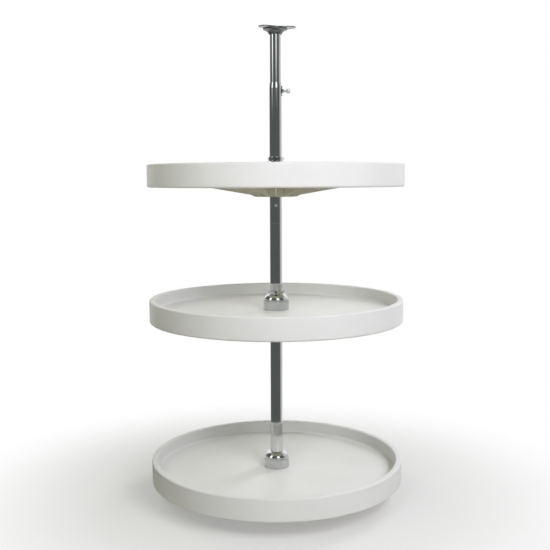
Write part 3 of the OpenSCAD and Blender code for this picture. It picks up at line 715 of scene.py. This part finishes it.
HOLE_STEPS = 8             # cells along one side of the square round a hole
HOLE_MARGIN = 2.0          # half of that square, in hole radii
HOLE_LOOP = np.linspace(-0.75 * np.pi, 1.25 * np.pi, 4 * HOLE_STEPS, endpoint=False)   # angles round it
WALL_START = 0.4           # radians from the walls' first column to the first hole's square
COLUMN_STEP = 0.075        # radians between the walls' columns
ROW_STEP = 30.0            # millimetres between their rows
END_HOLD = 0.6             # distance of the rows that hold the shading at a tube's ends


def stations_with(low, high, spacing, holes):
    """Positions from low to high about spacing apart, with HOLE_STEPS cells inside each (start, end)."""
    marks = [low] + [x for hole in holes for x in hole] + [high]
    parts = []
    for n, (a, b) in enumerate(zip(marks[:-1], marks[1:])):
        steps = HOLE_STEPS if n % 2 else max(1, round((b - a) / spacing))
        parts.append(np.linspace(a, b, steps, endpoint=False))
    return np.concatenate(parts + [[high]])


def square_loop(low_a, high_a, low_z, high_z):
    """Points round a square of HOLE_STEPS cells a side, from its lower left corner, counter-clockwise."""
    s = np.linspace(0.0, 1.0, HOLE_STEPS, endpoint=False)
    a = low_a + (high_a - low_a) * np.concatenate([s, np.ones_like(s), 1 - s, np.zeros_like(s)])
    z = low_z + (high_z - low_z) * np.concatenate([np.zeros_like(s), s, np.ones_like(s), 1 - s])
    return a, z


def hole_loop(turn, z, r, wall_r):
    """Edge of a hole of radius r drilled square to the axis through a wall of radius wall_r: a point that
    stands c = r cos t aside lies at the angle turn + asin(c / wall_r) and the height z + r sin t."""
    return turn + np.arcsin(r * np.cos(HOLE_LOOP) / wall_r), z + r * np.sin(HOLE_LOOP)


def between_loops(outer, inner, count):
    """Loops from outer to inner, the n-th of them a share (n / count)^0.8 of the way."""
    share = (np.linspace(0.0, 1.0, count + 1) ** 0.8)[:, None, None]
    return outer[None] * (1 - share) + inner[None] * share


def on_wall(a, z, radius):
    """Points (R cos a, R sin a, z), where R is the wall's radius at z."""
    return polar(radius(z), a, z)


def add_wall(skin, low, high, radius, holes):
    """One wall of a tube as angle by height, with rings of cells between each hole and its square."""
    spans_a, spans_z = [], []
    for turn, z, r in holes:
        half = HOLE_MARGIN * r
        spans_a.append((turn - half / POST_R, turn + half / POST_R))
        spans_z.append((z - half, z + half))
    start = spans_a[0][0] - WALL_START if holes else 0.0
    cols = stations_with(start, start + 2 * np.pi, COLUMN_STEP, sorted(spans_a))[:-1]
    rows = stations_with(low, high, ROW_STEP, sorted(set(spans_z)))
    rows = np.sort(np.concatenate([rows, [low + END_HOLD, high - END_HOLD]]))
    keep = np.ones((len(rows) - 1, len(cols)), bool)
    for (a0, a1), (z0, z1), (turn, z, r) in zip(spans_a, spans_z, holes):
        inside_a = (cols > a0 - SLACK) & (cols < a1 - SLACK)
        inside_z = (rows[:-1] > z0 - SLACK) & (rows[:-1] < z1 - SLACK)
        keep &= ~(inside_z[:, None] & inside_a[None, :])
        outer = np.stack(square_loop(a0, a1, z0, z1))
        inner = np.stack(hole_loop(turn, z, r, radius(z)))
        ring = between_loops(outer, inner, 5)
        skin.add(on_wall(ring[:, 0], ring[:, 1], radius))
    skin.add(on_wall(cols, rows[:, None], radius), keep=keep)
    return cols


def tube_skin(low, high, outside, bore_r, holes, edge):
    """A tube's two walls, its two ends rounded over edge, and the walls of its holes."""
    skin = Skin()
    bore = straight(bore_r)
    cols = add_wall(skin, low + edge, high - edge, outside, holes)
    add_wall(skin, low + edge, high - edge, bore, holes)
    t = np.linspace(0.0, np.pi / 2, 5)
    for z, end in ((low, -1.0), (high, 1.0)):
        rim_r = float(outside(z - end * edge))
        reach = min(edge, (rim_r - bore_r) / 2 - HAIR)
        drop = z - end * edge * (1 - np.sin(t))
        outer = np.stack([rim_r - reach * (1 - np.cos(t)), drop], axis=1)
        inner = np.stack([bore_r + reach * (1 - np.cos(t)), drop], axis=1)
        line = np.concatenate([outer, inner[::-1]])
        skin.add(polar(line[:, :1], cols, line[:, 1:]))
    for turn, z, r in holes:
        out_a, out_z = hole_loop(turn, z, r, float(outside(z)))
        in_a, in_z = hole_loop(turn, z, r, bore_r)
        skin.add(np.stack([on_wall(out_a, out_z, outside), on_wall(in_a, in_z, bore)]))
    return skin


def straight(r):
    """A wall's radius that is r at every height."""
    return lambda z: np.full_like(np.asarray(z, float), r)


def tapered_mouth(z):
    """The upper tube's outer radius: straight, then drawn in towards its mouth."""
    heights = [0.0, MOUTH_Z - MOUTH_TAPER, MOUTH_Z - MOUTH_TAPER / 2, MOUTH_Z]
    return np.interp(z, heights, [POST_R, POST_R, POST_R - MOUTH_SHOULDER, POST_BORE_R + MOUTH_WALL])


def build_post():
    """The two outer tubes, with the pin's holes, the button's hole and the lock screw's hole."""
    pin = [(0.0, SPIGOT_PIN_Z, SPIGOT_PIN_R), (math.pi, SPIGOT_PIN_Z, SPIGOT_PIN_R)]
    lower = tube_skin(POST_FOOT_Z, SEAM_Z, straight(POST_R), POST_BORE_R, pin, SEAM_EDGE)
    lower.piece("lower_post", "post", CHROME, "chrome", "lower_post_tube", 50.0)
    front, right = (-math.pi / 2, BUTTON_Z, BUTTON_HOLE_R), (0.0, LOCK_Z, LOCK_HOLE_R)
    upper = tube_skin(SEAM_Z, MOUTH_Z, tapered_mouth, POST_BORE_R, [front, right], SEAM_EDGE)
    upper.piece("upper_post", "post", CHROME, "chrome", "upper_post_tube", 50.0)


def build_inner_tube():
    """The tube that telescopes in the post, up to the ceiling plate."""
    skin = tube_skin(INNER_FOOT_Z, PLATE_Z, straight(INNER_R), INNER_BORE_R, [], TUBE_EDGE)
    skin.piece("telescoping_tube", "ceiling_extension", CHROME, "chrome", "inner_tube", 50.0)


PLATE_START = 0.6          # radians from the plate's first column to the first arm's line
PLATE_COLUMN_STEP = 0.05   # radians between columns
PLATE_SHARE_STEP = 0.12    # between rows, as a share of the way out


def plate_reach(a):
    """Radius of the ceiling plate's outline at angle a. At the angle b from the nearest arm's line it is
    p cos b + sqrt(l^2 - p^2 sin^2 b) on the arm's round end, and c / cos(b - tilt) on its straight side."""
    third = 2 * np.pi / 3
    b = np.abs((a - math.radians(ARM_TURN) + third / 2) % third - third / 2)
    tilt = math.acos((PLATE_DISC_R - ARM_END_R) / ARM_HOLE_PCR)
    last = math.atan2(ARM_END_R * math.sin(tilt), ARM_HOLE_PCR + ARM_END_R * math.cos(tilt))
    inside = np.maximum(ARM_END_R ** 2 - (ARM_HOLE_PCR * np.sin(b)) ** 2, 0.0)
    return np.where(b < last, ARM_HOLE_PCR * np.cos(b) + np.sqrt(inside), PLATE_DISC_R / np.cos(b - tilt))


def arm_hole(turn, z):
    """Edge of the hole in the arm at the angle turn: p + r sin t along the arm by r cos t across it."""
    along, across = ARM_HOLE_PCR + ARM_HOLE_R * np.sin(HOLE_LOOP), ARM_HOLE_R * np.cos(HOLE_LOOP)
    x = along * math.cos(turn) - across * math.sin(turn)
    y = along * math.sin(turn) + across * math.cos(turn)
    return np.stack([x, y, np.full_like(x, z)], axis=-1)


def add_plate_face(skin, z, turns, cols, shares):
    """One level face of the plate: radii shared out between the stub's hole and the outline, with rings of
    cells round each arm's hole."""
    def at(a, share):
        """The face's point at the angle a, that share of the way out."""
        return polar(STUB_R + share * (plate_reach(a) - PLATE_EDGE_R - STUB_R), a, z)

    half, (low, high) = ARM_HOLE_HALF, ARM_HOLE_SHARES
    keep = np.ones((len(shares) - 1, len(cols)), bool)
    in_share = (shares[:-1] > low - SLACK) & (shares[:-1] < high - SLACK)
    for turn in turns:
        in_turn = (cols > turn - half - SLACK) & (cols < turn + half - SLACK)
        keep &= ~(in_share[:, None] & in_turn[None, :])
        skin.add(between_loops(at(*square_loop(turn - half, turn + half, low, high)), arm_hole(turn, z), 4))
    skin.add(at(cols, shares[:, None]), keep=keep)


def build_ceiling_plate():
    """Three-armed plate with a rounded edge, and under it a dark dish whose lower face falls from the plate
    by depth (neck / r)^curve. Finish is 1 on the dish."""
    turns = [math.radians(ARM_TURN - 360.0 + 120.0 * n) for n in range(3)]
    spans = [(turn - ARM_HOLE_HALF, turn + ARM_HOLE_HALF) for turn in turns]
    start = turns[0] - PLATE_START
    cols = stations_with(start, start + 2 * np.pi, PLATE_COLUMN_STEP, spans)[:-1]
    shares = stations_with(0.0, 1.0, PLATE_SHARE_STEP, [ARM_HOLE_SHARES])
    skin = Skin()
    for z in (PLATE_Z, PLATE_TOP):
        add_plate_face(skin, z, turns, cols, shares)
    t = np.radians(np.linspace(-90.0, 90.0, 9))[:, None]
    flat = (PLATE_TOP - PLATE_Z) / 2 - PLATE_EDGE_R
    edge_z = (PLATE_TOP + PLATE_Z) / 2 + PLATE_EDGE_R * np.sin(t) + flat * np.sign(np.sin(t))
    skin.add(polar(plate_reach(cols) - PLATE_EDGE_R * (1 - np.cos(t)), cols, edge_z))
    skin.add(polar(STUB_R, cols, np.array([[PLATE_Z], [PLATE_TOP]])))
    for turn in turns:
        skin.add(np.stack([arm_hole(turn, PLATE_Z), arm_hole(turn, PLATE_TOP)]))
    fall = np.linspace(DISH_NECK_R, DISH_R - DISH_EDGE, 22)
    under = np.stack([fall, PLATE_Z - DISH_DEPTH * (DISH_NECK_R / fall) ** DISH_CURVE], axis=1)
    low_z, rim_z, top_z = under[0, 1], under[-1, 1] + DISH_EDGE, PLATE_TOP - DISH_EDGE
    lip = [[DISH_R, rim_z], [DISH_R, top_z - DISH_TOP_CHAMFER], [DISH_R - DISH_TOP_CHAMFER, top_z]]
    tube_r = INNER_R + DISH_FIT
    outwards, up = DISH_NECK_CHAMFER
    inside = [[tube_r, top_z], [tube_r, low_z + up], [tube_r + outwards, low_z]]
    skin.add(turned(closed(np.concatenate([under, lip, inside])), 96), finish=1.0)
    skin.piece("ceiling_plate_pressing", "ceiling_extension", DARK, "dark_plate", "ceiling_plate", 35.0)


def build_sleeve(which):
    """Carrier under a tray: flange, and a neck that stands out of the hub."""
    low, high = SLEEVE_FLANGE_Z
    corners = [[SLEEVE_BORE_R, low], [SLEEVE_FLANGE_R, low], [SLEEVE_FLANGE_R, high],
               [SLEEVE_R, high], [SLEEVE_R, NECK_TOP], [SLEEVE_BORE_R, NECK_TOP]]
    outline = softened(corners, SLEEVE_EDGE)
    outline[:, 1] += BOSS_Z[which]
    skin = Skin().add(turned(held(closed(outline)), 144))
    skin.piece(f"{which}_carrier_sleeve", f"{which}_carrier", CHROME, "chrome", f"{which}_sleeve", 50.0)


# ---------------------------------------------------------------- small hardware


def about_x(turn_deg, r, z):
    """Matrix that lays a piece's own Z along the direction turn_deg, from radius r at height z."""
    spin = Matrix.Rotation(math.radians(turn_deg), 4, "Z")
    return spin @ Matrix.Translation((r, 0.0, z)) @ Matrix.Rotation(math.pi / 2, 4, "Y")


def socket_screw_grid():
    """A set screw along +Z: a chamfered cylinder whose face falls into a hexagon, where the radius at the
    angle a is half the key over cos(a mod 60 degrees - 30 degrees), and a drilled point."""
    chamfer, edge, soft = 0.4, 0.12, 0.35
    side, face = SET_SCREW_R, SET_SCREW_L
    a = np.linspace(0.0, 2 * np.pi, 48, endpoint=False)
    hexagon = SOCKET_KEY / 2 / np.cos(a % (np.pi / 3) - np.pi / 6)
    shank = np.array([[0.0, 0.0], [side - chamfer, 0.0], [side, chamfer], [side, face - soft],
                      [side - edge, face - 0.1], [side - soft, face]])
    socket = np.array([[edge, face], [0.0, face - edge], [0.0, face - SOCKET_DEPTH]])
    r = np.concatenate([shank[:, :1] + np.zeros_like(a), socket[:, :1] + hexagon, np.zeros((1, len(a)))])
    z = np.concatenate([shank[:, 1], socket[:, 1], [face - SOCKET_DEPTH - SOCKET_POINT]])
    return polar(r, a, z[:, None])


def build_set_screws(which):
    """The three set screws of one neck."""
    skin = Skin()
    screw = socket_screw_grid()
    for turn in SET_SCREW_TURNS:
        skin.add(moved(screw, about_x(turn, SET_SCREW_TIP_R, BOSS_Z[which] + SET_SCREW_Z)))
    skin.piece(f"{which}_neck_screws", f"{which}_carrier", BLACK, "black_screw", f"{which}_set_screws")


def thread_grid():
    """The lock screw's shank along +Z: the radius falls by depth times a rounded wave of z / pitch less
    a / turn, and the wave dies out at both ends."""
    low, high = LOCK_THREAD_X
    a = np.linspace(0.0, 2 * np.pi, 24, endpoint=False)
    z = np.linspace(low, high, int((high - low) / THREAD_PITCH * 8) + 1)[:, None]
    wave = 0.5 - 0.5 * np.cos(2 * np.pi * (z / THREAD_PITCH) - a)
    fade = np.clip(np.minimum(z - low, high - z) / THREAD_FADE, 0.0, 1.0)
    grid = polar(LOCK_THREAD_R - THREAD_DEPTH * (1 - fade * (1 - wave)), a, z)
    ends = grid[[0, -1]] * np.array([0.0, 0.0, 1.0])
    return np.concatenate([ends[:1], grid, ends[1:]])


def thumb_head_grid():
    """The thumb head: coarse knurls, depth / 2 (1 - cos(teeth a)) deep, on a short cylinder with rounded
    shoulders. Its rows are (radius, height, share of the knurls' depth)."""
    head, top = LOCK_HEAD_R, LOCK_HEAD_L
    a = np.linspace(0.0, 2 * np.pi, GRIP_TEETH * 6, endpoint=False)
    groove = GRIP_DEPTH / 2 * (1 - np.cos(GRIP_TEETH * a))
    rows = np.array([[0.0, 0.0, 0.0], [head - 1.3, 0.0, 0.0], [head - 0.5, 0.15, 0.3], [head, 0.7, 1.0],
                     [head, 2.6, 1.0], [head, top - 2.0, 1.0], [head - 0.5, top - 1.3, 0.3],
                     [head - 1.0, top - 0.9, 0.0], [head - 1.8, top - 0.4, 0.0],
                     [head - 3.0, top - 0.1, 0.0], [0.0, top, 0.0]])
    return polar(np.maximum(rows[:, :1] - rows[:, 2:] * groove, 0.0), a, rows[:, 1:2] + LOCK_HEAD_X)


def build_lock_screw():
    """The thumb screw at the post's mouth, along +X."""
    skin = Skin()
    for grid in (thread_grid(), thumb_head_grid()):
        skin.add(moved(grid, about_x(0.0, 0.0, LOCK_Z)))
    skin.piece("thumb_lock_screw", "thumb_screw", NICKEL, "bright_screw", "lock_screw", 50.0)


def build_button():
    """Snap button along -Y: a flanged pin with a softly domed end, r cos t by crown sin t."""
    t = np.radians(np.linspace(0.0, 90.0, 10))
    dome = np.stack([BUTTON_R * np.cos(t), BUTTON_FACE_Y + BUTTON_CROWN * np.sin(t)], axis=1)
    dome[-1, 0] = 0.0
    foot, shoulder, flange = BUTTON_FOOT_Y, BUTTON_FOOT_Y + BUTTON_FLANGE_T, BUTTON_FLANGE_R
    base = [[0.0, foot], [flange - BUTTON_EDGE, foot], [flange, foot + BUTTON_EDGE],
            [flange, shoulder - BUTTON_EDGE / 2], [BUTTON_R, shoulder]]
    skin = Skin().add(moved(turned(np.concatenate([base, dome]), 40), about_x(-90.0, 0.0, BUTTON_Z)))
    skin.piece("snap_button_pin", "button", NICKEL, "bright_screw", "snap_button", 50.0)


for tray_name in BOSS_Z:
    build_tray(tray_name)
    build_hub(tray_name)
build_post()
build_inner_tube()
build_ceiling_plate()
for tray_name in ("middle", "top"):
    build_sleeve(tray_name)
    build_set_screws(tray_name)
build_lock_screw()
build_button()

# ---------------------------------------------------------------- CAD nodes that stay

KEPT = (
    (ZINC, ("floor_flange", "joint_spigot", "spigot_pin", "tube_plug")),
    (BLACK, ("flange_grub_screw", "bottom_hub_screws", "middle_hub_screws", "top_hub_screws")),
    (NYLON, ("floor_thrust_washer", "middle_thrust_washer", "top_thrust_washer")),
    (NYLON, ("bottom_bush", "middle_bush", "top_bush", "lock_pad")),
    (CHROME, ("lock_nut_boss",)),
    (SPRING, ("snap_spring",)),
)
for finish_material, node_names in KEPT:
    for node_name in node_names:
        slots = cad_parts[node_name].data.materials
        slots.clear()
        slots.append(finish_material)

# ---------------------------------------------------------------- floor, surround and lamps

DARK_ROOM = (0.105, 0.116, 0.108)
DARK_TO_RIGHT = (62.0, 92.0)     # degrees from the front over which the dark room ends on the right
DARK_TO_LEFT = (122.0, 142.0)    # the same on the left
SIDE_LEVEL = 0.62                # the right side wall's level; the backdrop behind is white
SIDE_TO_BACK = (110.0, 140.0)    # degrees over which the side wall turns into the backdrop
BACKDROP_TOP = (50.0, 64.0)      # degrees above the horizon over which the backdrop ends
# Softboxes that polished metal sees: bearing, half width, lower edge, upper edge, softness, level
MIRRORED_BOXES = ((-60.0, 10.0, 7.0, 46.0, 4.0, 1.9), (17.0, 14.0, 8.0, 46.0, 5.0, 1.5))
WHITE = (1.0, 1.0, 1.0)
SOFT_LIGHT = (0.02, 0.02, 0.015)      # the world as light
PAPER = (0.74, 0.74, 0.73)            # the floor as the camera sees it
PAPER_BOUNCE = (0.75, 0.745, 0.68)    # the light that it throws back on the object
FLOOR_HALF = 12.0                     # metres, as the radii on the floor are
SHADE_FADE = (0.20, 0.75)             # the camera's floor goes from paper towards white between these radii,
SHADE_KEPT = (0.35, 1.0)              # by these shares of white
MIRROR_FADE = (0.30, 0.42)            # from here on polished metal sees the surround in place of the floor
NEUTRAL = (0.995, 0.99, 1.02)
WARM = (1.0, 1.0, 0.70)


def make_surround_group():
    """What polished metal sees: a dark room in front with two softboxes in it, and a white backdrop behind
    that ends above the horizon."""
    tree = bpy.data.node_groups.new("studio_surround", "ShaderNodeTree")
    tree.interface.new_socket(name="Vector", in_out="INPUT", socket_type="NodeSocketVector")
    tree.interface.new_socket(name="Color", in_out="OUTPUT", socket_type="NodeSocketColor")
    n = Nodes(tree)
    given, out = n.add("NodeGroupInput").outputs, n.add("NodeGroupOutput").inputs
    axes = n.add("ShaderNodeSeparateXYZ", Vector=given["Vector"]).outputs
    bearing = n.math("ARCTAN2", axes["X"], n.math("MULTIPLY", axes["Y"], -1.0))
    right = n.between(bearing, *map(math.radians, DARK_TO_RIGHT), 0.0, SIDE_LEVEL)
    behind = n.between(bearing, *map(math.radians, SIDE_TO_BACK), 0.0, 1.0 - SIDE_LEVEL)
    left = n.between(n.math("MULTIPLY", bearing, -1.0), *map(math.radians, DARK_TO_LEFT))
    rise = n.math("ARCTAN2", axes["Z"], n.off_axis(axes))
    below_top = n.between(rise, *map(math.radians, BACKDROP_TOP), 1.0, 0.0)
    white = n.math("MULTIPLY", n.math("ADD", n.math("ADD", right, behind), left), below_top)
    for turn, half, low, high, soft, level in MIRRORED_BOXES:
        turn, half, low, high, soft = map(math.radians, (turn, half, low, high, soft))
        aside = n.math("ABSOLUTE", n.math("SUBTRACT", bearing, turn))
        box = n.between(aside, half - soft, half + soft, level, 0.0)
        box = n.math("MULTIPLY", box, n.between(rise, low - soft, low + soft))
        box = n.math("MULTIPLY", box, n.between(rise, high - soft, high + soft, 1.0, 0.0))
        white = n.math("ADD", white, box)
    seen = n.add("ShaderNodeVectorMath", {"operation": "SCALE"}, i0=WHITE, Scale=white).outputs[0]
    room = n.add("ShaderNodeVectorMath", {"operation": "MAXIMUM"}, i0=seen, i1=DARK_ROOM).outputs[0]
    n.tree.links.new(room, out["Color"])
    return tree


SURROUND = make_surround_group()


def make_world():
    """White to the camera, the surround to polished metal, and a plain soft level as light."""
    world = bpy.data.worlds.new("studio")
    bpy.context.scene.world = world
    world.use_nodes = True
    n = Nodes(world.node_tree)
    direction = n.add("ShaderNodeTexCoord").outputs["Generated"]
    seen = n.add("ShaderNodeGroup", {"node_tree": SURROUND}, Vector=direction).outputs["Color"]
    ray = n.add("ShaderNodeLightPath").outputs
    mirrored = n.mix(ray["Is Glossy Ray"], SOFT_LIGHT, seen)
    colour = n.mix(ray["Is Camera Ray"], mirrored, WHITE)
    back = n.add("ShaderNodeBackground", Color=colour, Strength=1.0)
    n.add("ShaderNodeOutputWorld", Surface=back.outputs[0])


def make_floor():
    """Plain pale floor with a slightly warm bounce. For the camera it fades to white around the object's
    shade, and further out polished metal sees the surround's horizon in its place."""
    mesh = bpy.data.meshes.new("floor")
    corners = [(x * FLOOR_HALF, y * FLOOR_HALF, 0.0) for x, y in ((-1, -1), (1, -1), (1, 1), (-1, 1))]
    mesh.from_pydata(corners, [], [(0, 1, 2, 3)])
    floor = bpy.data.objects.new("floor", mesh)
    bpy.context.scene.collection.objects.link(floor)
    material, n, at = new_material("studio_floor")
    flat = n.add("ShaderNodeVectorMath", {"operation": "MULTIPLY"}, i0=at, i1=(1.0, 1.0, 0.0)).outputs[0]
    seen = n.add("ShaderNodeGroup", {"node_tree": SURROUND}, Vector=flat).outputs["Color"]
    ray = n.add("ShaderNodeLightPath").outputs
    paper = n.mix(ray["Is Camera Ray"], PAPER_BOUNCE, PAPER)
    diffuse = n.add("ShaderNodeBsdfDiffuse", Color=paper)
    white = n.add("ShaderNodeEmission", Color=(*WHITE, 1.0), Strength=1.0)
    near = n.add("ShaderNodeVectorMath", {"operation": "LENGTH"}, i0=flat).outputs["Value"]
    fade = n.math("MULTIPLY", n.between(near, *SHADE_FADE, *SHADE_KEPT), ray["Is Camera Ray"])
    plain = n.add("ShaderNodeMixShader", i0=fade, i1=diffuse.outputs[0], i2=white.outputs[0])
    mirrored = n.add("ShaderNodeEmission", Color=seen, Strength=1.0)
    use = n.math("MULTIPLY", ray["Is Glossy Ray"], n.between(near, *MIRROR_FADE))
    shader = n.add("ShaderNodeMixShader", i0=use, i1=plain.outputs[0], i2=mirrored.outputs[0])
    n.add("ShaderNodeOutputMaterial", Surface=shader.outputs[0])
    mesh.materials.append(material)


def softbox(name, bearing, distance, z, side, level, tint=NEUTRAL, aim_z=0.5):
    """Square area lamp of the given level, which looks at the post's axis. Bearing is in degrees from the
    front, positive towards +X. Polished metal sees the boxes of the surround in its place."""
    data = bpy.data.lights.new(name, "AREA")
    data.shape = "SQUARE"
    data.size = side
    data.energy = level * math.pi * side * side
    data.color = tint
    lamp = bpy.data.objects.new(name, data)
    bpy.context.scene.collection.objects.link(lamp)
    b = math.radians(bearing)
    lamp.location = (distance * math.sin(b), -distance * math.cos(b), z)
    lamp.rotation_euler = (lamp.location - Vector((0.0, 0.0, aim_z))).to_track_quat("Z", "Y").to_euler()
    lamp.visible_glossy = False
    lamp.visible_camera = False


make_world()
make_floor()
softbox("key", 30.0, 2.0, 1.5, 0.9, 9.3)
softbox("high_right", 50.0, 2.0, 2.2, 0.9, 6.8)
softbox("front_left", -20.0, 1.1, 1.0, 0.5, 4.0, NEUTRAL, 0.6)
softbox("left", -60.0, 1.1, 1.0, 0.5, 2.1, WARM, 0.6)
softbox("rear_right", 135.0, 2.0, 1.5, 0.9, 7.7)
softbox("rear_left", -135.0, 2.0, 1.5, 0.9, 2.4, WARM)

# ---------------------------------------------------------------- end

scene = bpy.context.scene
scene.view_settings.view_transform = "Standard"
